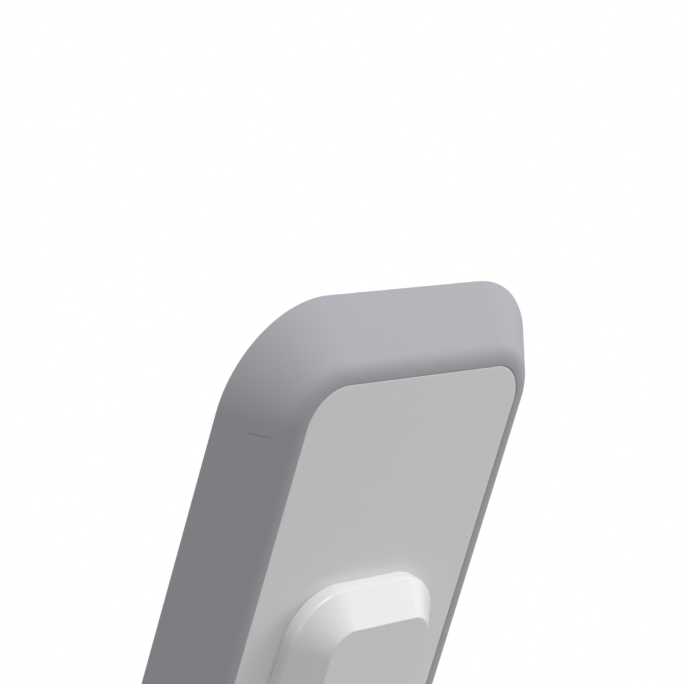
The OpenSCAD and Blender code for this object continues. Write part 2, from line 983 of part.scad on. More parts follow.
module board_corners() {
    for (x = [-1, 1], y = [board_front + standoff_in, board_back - standoff_in])
        translate([x * (board_w / 2 - standoff_in), y, 0])
            children();
}

// Rubber pad that the stand rests on, with openings over the cover's screws
module foot_pad() {
    color(pad_dark)
        difference() {
            round_plate(
                base_w - 2 * foot_pad_in,
                base_d - 2 * foot_pad_in,
                corner_r - foot_pad_in,
                base_lift + pad_sunk - touch
            );
            at_lugs(base_w, base_d)
                translate([0, 0, -cut])
                    cylinder(
                        d = screw_head_d + 2 * foot_hole_gap,
                        h = base_lift + pad_sunk + 2 * cut,
                        $fn = fine
                    );
        }
}

// Driver board on its standoffs
module driver_board() {
    color(board_green)
        difference() {
            translate([-board_w / 2, board_front, board_z])
                cube([board_w, board_d, board_t]);
            board_corners()
                translate([0, 0, board_z - cut])
                    cylinder(d = board_screw_d + 2 * fit, h = board_t + 2 * cut, $fn = fine);
        }
}

module on_board(x, y) {
    translate([x, board_front + y, board_top + touch])
        children();
}

module controller_chip() {
    color(part_black)
        on_board(-board_w / 4 - chip[0] / 2, board_d / 2 - chip_ahead - chip[1] / 2)
            difference() {
                cube(chip);
                translate([chip_dot_in, chip[1] - chip_dot_in, chip[2] - chip_dot_deep])
                    cylinder(d = chip_dot_d, h = cut, $fn = fine);
            }
}

module power_inductor() {
    color(part_black)
        on_board(board_w / 4, board_d / 2 - chip_ahead) {
            round_plate(inductor_w, inductor_w, inductor_r, inductor_h);
            translate([0, 0, inductor_h])
                cylinder(d = inductor_crown_d, h = inductor_crown_h, $fn = fine);
        }
}

module resonance_capacitors() {
    pitch = capacitor[0] + capacitor_gap;
    color(ceramic_tan)
        for (k = [0 : capacitors - 1])
            on_board(
                (k - (capacitors - 1) / 2) * pitch - capacitor[0] / 2,
                board_d / 2 + capacitor_behind - capacitor[1] / 2
            )
                cube(capacitor);
}

// Steel shell of the power socket
module power_socket() {
    color(steel)
        at_socket()
            difference() {
                linear_extrude(socket_l)
                    socket_outline(0);
                translate([0, 0, -cut])
                    linear_extrude(socket_l - socket_back + cut)
                        socket_outline(socket_skin);
            }
}

// Contact tongue inside the power socket
module socket_tongue() {
    root_z = socket_l - socket_back - touch - tongue_root;
    color(part_black)
        at_socket() {
            translate([0, 0, root_z])
                linear_extrude(tongue_root)
                    socket_outline(socket_skin + fit / 2);
            translate([0, 0, tongue_in])
                linear_extrude(root_z)
                    square([tongue_w, tongue_t], center = true);
        }
}

module status_led() {
    color(plate_white)
        on_board(-led[0] / 2, led_in)
            cube(led);
}

// Clear bar that takes the light from the board to the base's front
module light_guide() {
    color(guide_clear)
        intersection() {
            guide_path(0);
            lift_base()
                bevelled_slab(base_w, base_d, base_land);
        }
}

// Screws from under the ballast through the top plate into the stem's foot
module stem_base_screws() {
    color(steel)
        foot_screw_places()
            translate([0, 0, ballast_z + touch])
                screw(base_top - ballast_z - screw_head_h + stem_t - stem_screw_skin - touch);
}

// Screws that hold the bottom cover, set in the foot pad's openings
module base_screws() {
    length = flange_z + flange_t - base_lift - pad_sunk - 2 * screw_end_gap;
    color(steel)
        at_lugs(base_w, base_d)
            translate([0, 0, base_lift + pad_sunk - screw_head_h])
                screw(length);
}

module board_screws() {
    color(steel)
        board_corners()
            translate([0, 0, board_top + screw_head_h + touch])
                mirror([0, 0, 1])
                    screw(board_screw_l, board_screw_d, board_screw_head_d);
}

head_shell();
head_front();
face_pad();
ledge_pad();
head_back_plate();
coil_upper();
coil_lower();
ferrite_sheet();
coil_carrier();
thermistor();
head_screws();
stem_head_screws();
stem();
stem_lead();
coil_terminal();
board_terminal();
base_shell();
base_top_plate();
base_bottom();
foot_pad();
ballast_plate();
driver_board();
controller_chip();
power_inductor();
resonance_capacitors();
power_socket();
socket_tongue();
status_led();
light_guide();
stem_base_screws();
base_screws();
board_screws();
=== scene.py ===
"""A wireless charging stand, seen from behind on a pale studio floor."""

import math

import bpy
import numpy as np
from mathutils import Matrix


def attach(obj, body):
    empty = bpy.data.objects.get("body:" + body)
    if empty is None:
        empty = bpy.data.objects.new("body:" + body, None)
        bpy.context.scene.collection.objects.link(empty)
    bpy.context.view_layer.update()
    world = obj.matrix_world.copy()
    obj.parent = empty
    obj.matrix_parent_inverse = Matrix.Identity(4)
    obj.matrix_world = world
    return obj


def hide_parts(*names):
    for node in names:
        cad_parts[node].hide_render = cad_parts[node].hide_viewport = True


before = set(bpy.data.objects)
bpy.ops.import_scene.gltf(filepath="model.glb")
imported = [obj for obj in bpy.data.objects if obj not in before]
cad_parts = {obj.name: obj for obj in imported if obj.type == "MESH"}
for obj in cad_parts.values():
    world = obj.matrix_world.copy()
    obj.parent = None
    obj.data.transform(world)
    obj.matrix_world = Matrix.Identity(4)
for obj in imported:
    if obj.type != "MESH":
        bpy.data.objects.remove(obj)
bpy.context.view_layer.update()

# Lengths are in millimetres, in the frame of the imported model, where no comment says metres.
MM = 0.001

# Head: its face line on the ledge floor, its lean and its outline
SEAT_Y, SEAT_Z, LEAN = -28.2463, 27.0175, math.radians(20)
HEAD_W, HEAD_H, HEAD_MID = 73.8, 124.8, 54.4
BEVEL_RISE = 9.0
# Base: its outline, the underside of its shell and its top
BASE_W, BASE_D, BASE_LOW, BASE_TOP = 78.0, 92.0, 1.0, 13.5
CORNER_R = 18.5
# Inset and corner radius of the inlaid plates and of the head's front cover
INLAY_IN, INLAY_R, COVER_IN, COVER_R = 11.41, 7.09, 3.3, 15.2
PLATE_T = 1.8
# Gap between a plate and the frame's flat land, and the inset where that land ends
PLATE_GAP = 0.06
LAND_IN = INLAY_IN - PLATE_GAP
# Edge section of both frames: where the bevel meets the land and how it rolls over, the flange
# under the plate, the inner wall's upper end, and the rim round the cover's seat
BEVEL_END, BEVEL_ROUND, LAND_ROUND = 9.157, 4.6, 0.12
FLANGE_IN, FLANGE_T, WALL_TOP_IN, RIM_W, SEAT_ROUND = 12.8, 1.2, 9.53, 3.2, 0.2
# Lower end of the head's inner wall, and the round on its rim
HEAD_WALL_IN, HEAD_RIM_ROUND = 5.25, 0.05
# Base: its upright edge, the rounds at that edge's foot and top, and its inner wall's lower end
BASE_EDGE, BASE_FOOT_ROUND, BASE_EDGE_ROUND = 3.5, 0.4, 0.6
BASE_WALL_IN, BASE_WALL_LOW = 4.6, 4.66
# How far the pocket's liner ends under the frame's surface, and the outline that it is cut to
LINER_SKIN, LINER_BEVEL_END, LINER_TOP, LINER_TOP_IN = 0.05, 9.2, 12.4, 11.2
# Face pad and ledge
PAD_W, PAD_L, PAD_R, PAD_MID, PAD_SUNK, PAD_T = 61.4, 102.6, 12.3, 59.3, 0.6, 1.0
LEDGE_W, LEDGE_T, LEDGE_DEPTH, LIP_T, LIP_H = 46.0, 3.2, 13.0, 2.6, 6.0
STRIP_W, STRIP_D, STRIP_R = 40.0, 10.0, 2.0
# Rounds: the ledge's lower edge, the lip's edges, their inner corner, the ends and their steps
LEDGE_ROUND, LIP_ROUND, INNER_ROUND, END_ROUND, END_STEPS = 1.6, 1.28, 0.8, 0.4, 4
# Edges of the ledge that turn by more than this are rounded.
END_ANGLE = math.radians(60)
# Foot and top rounds of the cover, the pads and the inlaid plates
COVER_ROUNDS, PAD_ROUNDS, PLATE_ROUNDS = (0.2, 0), (0.3, 0.1), (0.1, 0.16)
# Clearance between pieces that fit into each other
FIT = 0.1
# Hairline on the head's side bevel: its two ends, across, up the face and back from the rim
SEAM_ENDS = ((-33.47, 96.31, 3.37), (-29.91, 96.52, 6.87))
SEAM_HALF_WIDTH = 0.16
# Share of the colour that it takes away, and the share of its half length before it fades
SEAM_SHADE, SEAM_FADE = 0.42, 0.5
# Stem: straight runs, bend and section
STEM_W, STEM_T, STEM_R, STEM_BAND, STEM_BEVEL = 34.0, 6.7, 9.7, 2.3, 5.1
STEM_FOOT_ROUND, STEM_BAND_ROUND, STEM_TOP_ROUND = 0.12, 0.8, 0.25
BEND_Y, BEND_Z, BEND_R = 0.261358, 30.2, 16.7
ARM_RUN, FOOT_RUN = 56.26, 29.54
BEND_TURN = math.radians(90) + LEAN
# Port pocket through the back of the base, and the window of its light guide
POCKET_W, POCKET_LOW, POCKET_HIGH, POCKET_Y, POCKET_WALL = 13.4, 4.0, 10.6, 38.5, 1.2
SOCKET_W, SOCKET_H, SOCKET_R = 8.94, 3.26, 1.6
GUIDE_W, GUIDE_LOW, GUIDE_HIGH = 3.0, 5.65, 7.25
# Facets: the widest turn of an arc in a profile, and steps round a corner and round the bend
ARC_STEP, CORNER_STEPS, BEND_STEPS = math.radians(11), 24, 36
# Edges sharper than this stay sharp in the shading.
SHARP_EDGE = math.radians(35)
# Share by which a surface's roughness varies with its grain, either way
DULL_SPREAD = 0.06
# Studio floor: half its width, and where its shadow starts and ends its fade to white, in metres
FLOOR_HALF, FADE_START, FADE_END = 12, 0.13, 0.34
# Grey of the floor to the camera, and the grey that it throws back at the stand
FLOOR_SEEN, FLOOR_LIT = 0.86, 0.4
# Strength of the surrounding as a light. To the camera and in reflections it is 1.
SKY_LIGHT = 0.25
# Height that the lamps are aimed at, in metres
AIM_HEIGHT = 0.08
# Each lamp: azimuth, elevation, distance and width in metres, power in watts, seen in reflections
LAMPS = {
    "key_softbox": (90, 61, 1.2, 0.6, 9.0, True),
    "side_softbox": (155, 10, 1.2, 0.55, 5.2, False),
    "right_softbox": (150, 20, 1.2, 0.6, 1.2, True),
    "left_softbox": (0, 45, 1.2, 0.9, 4.4, True),
    "front_fill": (-90, 45, 1.2, 0.9, 2.6, True),
}
# Camera: focal length and sensor in mm, nearest distance and place in metres, turns in degrees
FOCAL_LENGTH, SENSOR_WIDTH, NEAREST = 155.998, 36, 0.01
CAMERA_PLACE, CAMERA_TURNS = (0.358386, 0.318066, 0.178105), (83.9272, -0.3574, 131.7825)


# --- Shapes ---


def rounded_ring(width, height, radius, stops=()):
    """Once round a rounded rectangle, as rows of x, y and outward angle.

    x and y are a corner's centre, or a stop on a straight side level with it. The right half
    runs down and the left half is its mirror image, so that row i faces row -1 - i.
    """
    x, y = width / 2 - radius, height / 2 - radius
    turn = np.linspace(0, math.pi / 2, CORNER_STEPS + 1)
    angle = np.concatenate([math.pi / 2 - turn, np.zeros(len(stops)), -turn])
    level = np.concatenate([np.full(turn.size, y), stops, np.full(turn.size, -y)])
    right = np.column_stack([np.full(angle.size, x), level, angle])
    left = right[::-1] * (-1, 1, -1) + (0, 0, math.pi)
    return np.vstack([right, left])


def rounded_profile(corners, closed=True):
    """A flat outline through corners of x, y and radius, each corner turned into an arc.

    An arc's centre lies on the corner's bisector, at radius / sin(half the corner's angle).
    """
    corners = np.array(corners, float)
    points = []
    for i, (x, y, radius) in enumerate(corners):
        if radius == 0 or (not closed and i in (0, len(corners) - 1)):
            points.append((x, y))
            continue
        here = np.array((x, y))
        sides = [corners[j % len(corners), :2] - here for j in (i - 1, i + 1)]
        before, after = (side / np.linalg.norm(side) for side in sides)
        half = math.acos(np.clip(before @ after, -1, 1)) / 2
        centre = here + (before + after) / np.linalg.norm(before + after) * radius / math.sin(half)
        start = here + before * radius / math.tan(half) - centre
        sweep = math.copysign(math.pi - 2 * half, after[0] * before[1] - after[1] * before[0])
        turns = np.linspace(0, sweep, max(2, math.ceil(abs(sweep) / ARC_STEP)) + 1)
        first = math.atan2(start[1], start[0])
        arc = np.column_stack([np.cos(first + turns), np.sin(first + turns)])
        points.extend(centre + radius * arc)
    return np.array(points)


def carried(ring, radius, profile):
    """Profile points of inset and height, carried round a ring: rows along the ring.

    A point at inset d lies at the corner's centre plus (radius - d) along the outward angle.
    """
    reach = radius - profile[None, :, 0]
    x = ring[:, 0, None] + reach * np.cos(ring[:, 2, None])
    y = ring[:, 1, None] + reach * np.sin(ring[:, 2, None])
    return np.stack([x, y, np.broadcast_to(profile[:, 1], x.shape)], axis=-1)


def skin(grid, profile_closed):
    """Quads over a grid of points closed along its rows.

    Where the profile is open, strips between facing rows close both of its ends.
    """
    rows, columns = grid.shape[:2]
    index = np.arange(rows * columns).reshape(rows, columns)
    if profile_closed:
        wide = np.column_stack([index, index[:, 0]])
    else:
        wide = index
    on = np.roll(wide, -1, axis=0)
    quads = [np.stack([wide[:, :-1], wide[:, 1:], on[:, 1:], on[:, :-1]], axis=-1).reshape(-1, 4)]
    if not profile_closed:
        half = rows // 2
        for column, flip in ((0, 1), (-1, -1)):
            right, left = index[:half, column], index[::-1][:half, column]
            cap = np.stack([right[:-1], right[1:], left[1:], left[:-1]], axis=-1)
            quads.append(cap[:, ::flip])
    return np.vstack(quads)


def volume(points, quads):
    """Six times the signed volume inside a closed mesh of quads."""
    a, b, c, d = (points[quads[:, i]] for i in range(4))
    return np.sum(a * (np.cross(b, c) + np.cross(c, d)))


def plain_object(name, points, faces):
    """A closed mesh object from points in millimetres and faces, with its faces outward."""
    if volume(points, faces) < 0:
        faces = faces[:, ::-1]
    mesh = bpy.data.meshes.new(name)
    mesh.from_pydata((points * MM).tolist(), [], faces.tolist())
    mesh.shade_smooth()
    piece = bpy.data.objects.new(name, mesh)
    bpy.context.scene.collection.objects.link(piece)
    return piece


def in_head(points):
    """Points of across, up the face and back from the rim, turned into the row frame."""
    x, up, back = points[..., 0], points[..., 1], points[..., 2]
    return np.stack([
        -x,
        SEAT_Y + up * math.sin(LEAN) + back * math.cos(LEAN),
        SEAT_Z + up * math.cos(LEAN) - back * math.sin(LEAN),
    ], axis=-1)


def on_ledge(points):
    """Points of across, forward of the ledge strip's middle and depth below its top."""
    strip = np.stack([
        points[..., 0],
        PAD_T - PAD_SUNK - points[..., 2],
        points[..., 1] - LEDGE_DEPTH / 2,
    ], axis=-1)
    return in_head(strip)


def up_from(height):
    """A placing that lifts points of x, y, z by height."""
    return lambda points: points + (0, 0, height)


def slab(name, width, height, radius, profile, place, middle=0.0, stops=()):
    """A solid slab: profile rows of inset, height and round, from its foot to its top."""
    ring = rounded_ring(width, height, radius, stops)
    grid = carried(ring, radius, rounded_profile(profile, closed=False))
    grid[..., 1] += middle
    return plain_object(name, place(grid).reshape(-1, 3), skin(grid, False))


def frame_ring(name, width, height, profile, place, middle=0.0):
    """An open frame: a closed profile of inset, height and round, carried round its outline."""
    ring = rounded_ring(width, height, CORNER_R)
    grid = carried(ring, CORNER_R, rounded_profile(profile))
    grid[..., 1] += middle
    return plain_object(name, place(grid).reshape(-1, 3), skin(grid, True))


def sheet_profile(thickness, foot_round, top_round):
    """The edge of a flat slab with its foot and top edges rounded."""
    return [(1, 0, 0), (0, 0, foot_round), (0, thickness, top_round), (1, thickness, 0)]


def shaped(piece, operation, *tools):
    """Cuts or joins the tools and leaves the result as the piece's own mesh."""
    for tool in tools:
        step = piece.modifiers.new(tool.name, "BOOLEAN")
        step.operation = operation
        step.object = tool
        step.solver = "EXACT"
    settled(piece)
    for tool in tools:
        bpy.data.objects.remove(tool)
    return piece


def settled(piece):
    """Turns a piece's modifiers into its mesh."""
    graph = bpy.context.evaluated_depsgraph_get()
    mesh = bpy.data.meshes.new_from_object(piece.evaluated_get(graph))
    piece.modifiers.clear()
    piece.data = mesh


def block(name, low, high):
    """A plain box between two corners, for cutting."""
    x, y, z = (np.array(pair) for pair in zip(low, high))
    grid = np.array(np.meshgrid(x, y, z, indexing="ij")).reshape(3, 8).T
    faces = np.array([
        (0, 1, 3, 2), (4, 6, 7, 5), (0, 4, 5, 1), (2, 3, 7, 6), (0, 2, 6, 4), (1, 5, 7, 3),
    ])
    return plain_object(name, grid, faces)


def head_shell():
    """The head's grey frame: bevel, roll-over round, flange and the cover's seat."""
    flange_top = BEVEL_RISE - PLATE_T
    flange_low = flange_top - FLANGE_T
    return frame_ring("grey_head_frame", HEAD_W, HEAD_H, [
        (0, 0, HEAD_RIM_ROUND), (BEVEL_END, BEVEL_RISE, BEVEL_ROUND),
        (LAND_IN, BEVEL_RISE, LAND_ROUND), (LAND_IN, flange_top, 0),
        (FLANGE_IN, flange_top, 0), (FLANGE_IN, flange_low, 0), (WALL_TOP_IN, flange_low, 0),
        (HEAD_WALL_IN, PLATE_T, 0), (RIM_W, PLATE_T, 0), (RIM_W, 0, SEAT_ROUND),
    ], in_head, HEAD_MID)


def base_shell():
    """The base's grey frame, with the port's pocket behind and the light's window in front."""
    rise = BASE_TOP - BASE_LOW
    flange_top = rise - PLATE_T
    flange_low = flange_top - FLANGE_T
    ring = frame_ring("grey_base_frame", BASE_W, BASE_D, [
        (0, 0, BASE_FOOT_ROUND), (0, BASE_EDGE, BASE_EDGE_ROUND), (BEVEL_END, rise, BEVEL_ROUND),
        (LAND_IN, rise, LAND_ROUND), (LAND_IN, flange_top, 0),
        (FLANGE_IN, flange_top, 0), (FLANGE_IN, flange_low, 0), (WALL_TOP_IN, flange_low, 0),
        (BASE_WALL_IN, BASE_WALL_LOW, 0), (BASE_WALL_IN, PLATE_T, 0), (RIM_W, PLATE_T, 0),
        (RIM_W, 0, SEAT_ROUND),
    ], up_from(BASE_LOW))
    side = POCKET_W / 2
    liner = block(
        "liner",
        (-side - POCKET_WALL, POCKET_Y - POCKET_WALL, POCKET_LOW - POCKET_WALL + FIT),
        (side + POCKET_WALL, BASE_D, POCKET_HIGH + POCKET_WALL),
    )
    # The liner ends a hair under the frame's own surface.
    outline = slab("outline", BASE_W, BASE_D, CORNER_R, [
        (LINER_SKIN, 0, 0), (LINER_SKIN, BASE_EDGE, 0),
        (LINER_BEVEL_END, LINER_TOP, BEVEL_ROUND), (LINER_TOP_IN, LINER_TOP, 0),
    ], up_from(BASE_LOW))
    pocket = block("pocket", (-side, POCKET_Y, POCKET_LOW), (side, BASE_D, POCKET_HIGH))
    mouth = slab(
        "mouth", SOCKET_W + 2 * FIT, SOCKET_H + 2 * FIT, SOCKET_R + FIT,
        [(1, -3, 0), (0, -3, 0), (0, 3, 0), (1, 3, 0)],
        lambda points: np.stack([
            points[..., 0],
            POCKET_Y + points[..., 2],
            (POCKET_LOW + POCKET_HIGH) / 2 + points[..., 1],
        ], axis=-1),
    )
    window = block(
        "window",
        (-GUIDE_W / 2 - FIT, -BASE_D, GUIDE_LOW - FIT), (GUIDE_W / 2 + FIT, 0, GUIDE_HIGH + FIT),
    )
    shaped(ring, "UNION", shaped(liner, "INTERSECT", outline))
    return shaped(ring, "DIFFERENCE", pocket, mouth, window)


def head_front():
    """The head's front cover, with the ledge and lip moulded on and the pads' recesses."""
    inset = 2 * COVER_IN
    cover = slab(
        "grey_head_front", HEAD_W - inset, HEAD_H - inset, COVER_R,
        sheet_profile(PLATE_T, *COVER_ROUNDS), in_head, HEAD_MID,
    )
    reach = LEDGE_DEPTH + LIP_T
    outline = rounded_profile([
        (-PLATE_T, -LEDGE_T, 0), (reach, -LEDGE_T, LEDGE_ROUND), (reach, LIP_H, LIP_ROUND),
        (LEDGE_DEPTH, LIP_H, LIP_ROUND), (LEDGE_DEPTH, 0, INNER_ROUND), (-PLATE_T, 0, 0),
    ])
    count = len(outline)
    ends = np.vstack([
        np.column_stack([np.full(count, x), outline[:, 1], -outline[:, 0]])
        for x in (-LEDGE_W / 2, LEDGE_W / 2)
    ])
    row = np.arange(count)
    on = np.roll(row, -1)
    ledge_mesh = bpy.data.meshes.new("ledge")
    faces = np.stack([row, on, on + count, row + count], axis=-1).tolist()
    faces += [row[::-1].tolist(), (row + count).tolist()]
    ledge_mesh.from_pydata((in_head(ends) * MM).tolist(), [], faces)
    ledge = bpy.data.objects.new("ledge", ledge_mesh)
    bpy.context.scene.collection.objects.link(ledge)
    rounding = ledge.modifiers.new("ends", "BEVEL")
    rounding.width = END_ROUND * MM
    rounding.segments = END_STEPS
    rounding.limit_method = "ANGLE"
    rounding.angle_limit = END_ANGLE
    settled(ledge)
    ledge.data.shade_smooth()
    recess = slab(
        "recess", PAD_W + 2 * FIT, PAD_L + 2 * FIT, PAD_R + FIT,
        [(1, -1, 0), (0, -1, 0), (0, PAD_SUNK, 0), (1, PAD_SUNK, 0)], in_head, PAD_MID,
    )
    trough = slab(
        "trough", STRIP_W + 2 * FIT, STRIP_D + 2 * FIT, STRIP_R + FIT,
        [(1, -1, 0), (0, -1, 0), (0, PAD_T, 0), (1, PAD_T, 0)], on_ledge,
    )
    shaped(cover, "UNION", ledge)
    return shaped(cover, "DIFFERENCE", recess, trough)


def stem():
    """The white stem: one bevelled slab, flat on the head, bent round and flat on the base."""
    bend_run = BEND_R * BEND_TURN
    length = ARM_RUN + bend_run + FOOT_RUN
    # Distance along the stem from the top of the bend to the slab's own middle
    middle = length / 2 - ARM_RUN
    bend_stops = middle - np.linspace(0, bend_run, BEND_STEPS + 1)

    def bent(points):
        """Distance along the stem turned into straight arm, arc about the bend's axis and foot."""
        x, along, high = points[..., 0], middle - points[..., 1], points[..., 2]
        turn = math.pi - LEAN + np.clip(along, 0, bend_run) / BEND_R
        radius = BEND_R - high
        arc = np.stack([x, BEND_Y + radius * np.cos(turn), BEND_Z + radius * np.sin(turn)], axis=-1)
        back = np.minimum(along, 0)[..., None] * np.array((0, -math.sin(LEAN), -math.cos(LEAN)))
        out = np.maximum(along - bend_run, 0)[..., None] * np.array((0, 1, 0))
        return arc + back + out

    return slab("white_stem", STEM_W, length, STEM_R, [
        (STEM_BEVEL + 1, 0, 0), (0, 0, STEM_FOOT_ROUND), (0, STEM_BAND, STEM_BAND_ROUND),
        (STEM_BEVEL, STEM_T, STEM_TOP_ROUND), (STEM_BEVEL + 1, STEM_T, 0),
    ], bent, stops=bend_stops)


def inlay(name, width, height, place, middle):
    """A white plate inlaid in a frame, with fine rounds along its edges."""
    return slab(
        name, width - 2 * INLAY_IN, height - 2 * INLAY_IN, INLAY_R,
        sheet_profile(PLATE_T, *PLATE_ROUNDS), place, middle,
    )


def deepened(place, depth):
    """The same placing, with heights measured from a plane that lies depth further in."""
    return lambda points: place(points + (0, 0, depth))


# --- Materials ---


def linear(colour):
    """The linear colour of an sRGB hex string, with the standard's two-part curve."""
    values = [int(colour[i:i + 2], 16) / 255 for i in (1, 3, 5)]
    return [v / 12.92 if v <= 0.04045 else ((v + 0.055) / 1.055) ** 2.4 for v in values] + [1.0]


def add(tree, kind, inputs, **settings):
    """A node of that kind. inputs holds constants and outputs to link, by name or by number."""
    node = tree.nodes.new(kind)
    for name, value in settings.items():
        setattr(node, name, value)
    for name, value in inputs.items():
        socket = node.inputs[name]
        if isinstance(value, bpy.types.NodeSocket):
            tree.links.new(value, socket)
        else:
            socket.default_value = value
    return node


def finish_material(name, colour, roughness, grain=0.0, depth=0.0, spread=0.0, **shader):
    """A principled material whose colour, roughness and relief vary with a fine noise.

    grain is the noise's size in mm, depth its relief in mm, spread its share of the colour.
    shader holds further inputs of the shader, with spaces for their underscores.
    """
    material = bpy.data.materials.new(name)
    material.use_nodes = True
    tree = material.node_tree
    surface = tree.nodes["Principled BSDF"]
    surface.inputs["Base Color"].default_value = linear(colour)
    surface.inputs["Roughness"].default_value = roughness
    for key, value in shader.items():
        surface.inputs[key.replace("_", " ")].default_value = value
    if grain:
        place = add(tree, "ShaderNodeTexCoord", {}).outputs["Object"]
        noise = add(tree, "ShaderNodeTexNoise", {
            "Vector": place, "Scale": 1 / (grain * MM), "Detail": 3.0,
        }).outputs["Fac"]
        shade = add(tree, "ShaderNodeMapRange", {
            "Value": noise, "To Min": 1 - spread, "To Max": 1 + spread,
        })
        tint = add(tree, "ShaderNodeVectorMath", {
            0: linear(colour)[:3], "Scale": shade.outputs["Result"],
        }, operation="SCALE")
        tree.links.new(tint.outputs["Vector"], surface.inputs["Base Color"])
        dull = add(tree, "ShaderNodeMapRange", {
            "Value": noise,
            "To Min": roughness * (1 - DULL_SPREAD), "To Max": roughness * (1 + DULL_SPREAD),
        })
        tree.links.new(dull.outputs["Result"], surface.inputs["Roughness"])
        relief = add(tree, "ShaderNodeBump", {
            "Height": noise, "Distance": depth * MM, "Strength": 1.0,
        })
        tree.links.new(relief.outputs["Normal"], surface.inputs["Normal"])
    return material


def with_hairline(material):
    """Adds a fine mould seam to a material's colour, in a straight line over the bevel.

    The colour is darkest on the line and rises evenly to full at a set distance on each side.
    Along the line the dark share stays full near the middle and falls evenly to its two ends.
    """
    tree = material.node_tree
    colour = tree.nodes["Principled BSDF"].inputs["Base Color"]
    start, end = in_head(np.array(SEAM_ENDS)) * MM
    half = np.linalg.norm(end - start) / 2
    along = (end - start) / (2 * half)
    rising = np.array((0, math.sin(LEAN), math.cos(LEAN)))
    across = rising - (rising @ along) * along
    place = add(tree, "ShaderNodeTexCoord", {}).outputs["Object"]
    offset = add(tree, "ShaderNodeVectorMath", {
        0: place, 1: ((start + end) / 2).tolist(),
    }, operation="SUBTRACT").outputs["Vector"]
    # For each way: the distance where the fade starts, where it ends, and its value at the start
    fades = (
        (along, half * SEAM_FADE, half, 1.0),
        (across, 0.0, SEAM_HALF_WIDTH * MM, SEAM_SHADE),
    )
    shares = []
    for way, near, far, most in fades:
        run = add(tree, "ShaderNodeVectorMath", {
            0: offset, 1: way.tolist(),
        }, operation="DOT_PRODUCT")
        size = add(tree, "ShaderNodeMath", {0: run.outputs["Value"]}, operation="ABSOLUTE")
        shares.append(add(tree, "ShaderNodeMapRange", {
            "Value": size.outputs[0],
            "From Min": near, "From Max": far, "To Min": most, "To Max": 0.0,
        }).outputs["Result"])
    dark = add(tree, "ShaderNodeMath", {0: shares[0], 1: shares[1]}, operation="MULTIPLY")
    left = add(tree, "ShaderNodeMath", {0: 1.0, 1: dark.outputs[0]}, operation="SUBTRACT")
    shaded = add(tree, "ShaderNodeVectorMath", {
        0: colour.links[0].from_socket, "Scale": left.outputs[0],
    }, operation="SCALE")
    tree.links.new(shaded.outputs["Vector"], colour)
    return material


MATERIALS = {
    # Fine matte moulded polycarbonate blend, mid grey with a trace of blue
    "grey_shell": with_hairline(
        finish_material("moulded_polycarbonate_grey", "#A5A6AB", 0.52, 0.25, 0.002, 0.012)
    ),
    # Satin moulded ABS, neutral white
    "white_plate": finish_material("satin_abs_white", "#E4E4E4", 0.26, 0.2, 0.001, 0.006),
    # Soft silicone with a dry touch
    "soft_pad": finish_material("dry_silicone_charcoal", "#3B3C3F", 0.75, 0.2, 0.006, 0.05),
    # Black rubber, finely pitted
    "rubber_pad": finish_material("pitted_rubber_black", "#232324", 0.8, 0.3, 0.02, 0.08),
    # Glass-filled nylon, dull black
    "black_moulding": finish_material("filled_nylon_black", "#1B1C1E", 0.6, 0.3, 0.006, 0.08),
    # Enamelled copper wire, glossy over a warm metal
    "copper_wire": finish_material(
        "enamelled_copper", "#B8693A", 0.28, 0.5, 0.002, 0.06, Metallic=1.0, Coat_Weight=0.6,
    ),
    # Pressed ferrite, dark and slightly grainy
    "ferrite": finish_material("pressed_ferrite", "#3A3A3C", 0.5, 0.15, 0.006, 0.1),
    # Zinc-plated steel
    "screw_steel": finish_material(
        "zinc_plated_steel", "#B9BCC0", 0.32, 0.4, 0.002, 0.05, Metallic=1.0,
    ),
    # Rolled and oiled iron plate
    "ballast_iron": finish_material(
        "oiled_rolled_iron", "#6F7276", 0.42, 0.8, 0.006, 0.12, Metallic=1.0,
    ),
    # Woven glass laminate under green solder mask
    "circuit_board": finish_material(
        "green_solder_mask", "#1F5A3A", 0.35, 0.4, 0.003, 0.1, Coat_Weight=0.4,
    ),
    # Fired ceramic, tan
    "capacitor_body": finish_material("fired_ceramic_tan", "#A88560", 0.5, 0.15, 0.002, 0.06),
    # Nylon, cream
    "cream_terminal": finish_material("moulded_nylon_cream", "#E6DFC8", 0.5, 0.3, 0.003, 0.03),
    # Frosted clear polycarbonate
    "clear_guide": finish_material(
        "frosted_clear_polycarbonate", "#F1F4F6", 0.45, 0.2, 0.004, 0.02,
        Transmission_Weight=0.5, IOR=1.58,
    ),
}


# --- Pieces ---


def dressed(piece, slot, *nodes):
    """Gives a new piece its place in the model, its normals and its material."""
    piece.data.set_sharp_from_angle(angle=SHARP_EDGE)
    smooth = piece.modifiers.new("flat_faces", "WEIGHTED_NORMAL")
    smooth.keep_sharp = True
    piece.data.materials.clear()
    piece.data.materials.append(MATERIALS[slot])
    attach(piece, "root")
    if nodes:
        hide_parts(*nodes)


dressed(head_shell(), "grey_shell", "head_shell")
dressed(head_front(), "grey_shell", "head_front")
dressed(slab(
    "soft_face_pad", PAD_W, PAD_L, PAD_R, sheet_profile(PAD_T, *PAD_ROUNDS),
    deepened(in_head, PAD_SUNK - PAD_T), PAD_MID,
), "soft_pad", "face_pad")
dressed(slab(
    "soft_ledge_strip", STRIP_W, STRIP_D, STRIP_R, sheet_profile(PAD_T, *PAD_ROUNDS), on_ledge,
), "soft_pad", "ledge_pad")
dressed(
    inlay("white_head_plate", HEAD_W, HEAD_H, deepened(in_head, BEVEL_RISE - PLATE_T), HEAD_MID),
    "white_plate", "head_back_plate",
)
dressed(stem(), "white_plate", "stem")
dressed(base_shell(), "grey_shell", "base_shell")
dressed(
    inlay("white_base_plate", BASE_W, BASE_D, up_from(BASE_TOP - PLATE_T), 0.0),
    "white_plate", "base_top_plate",
)

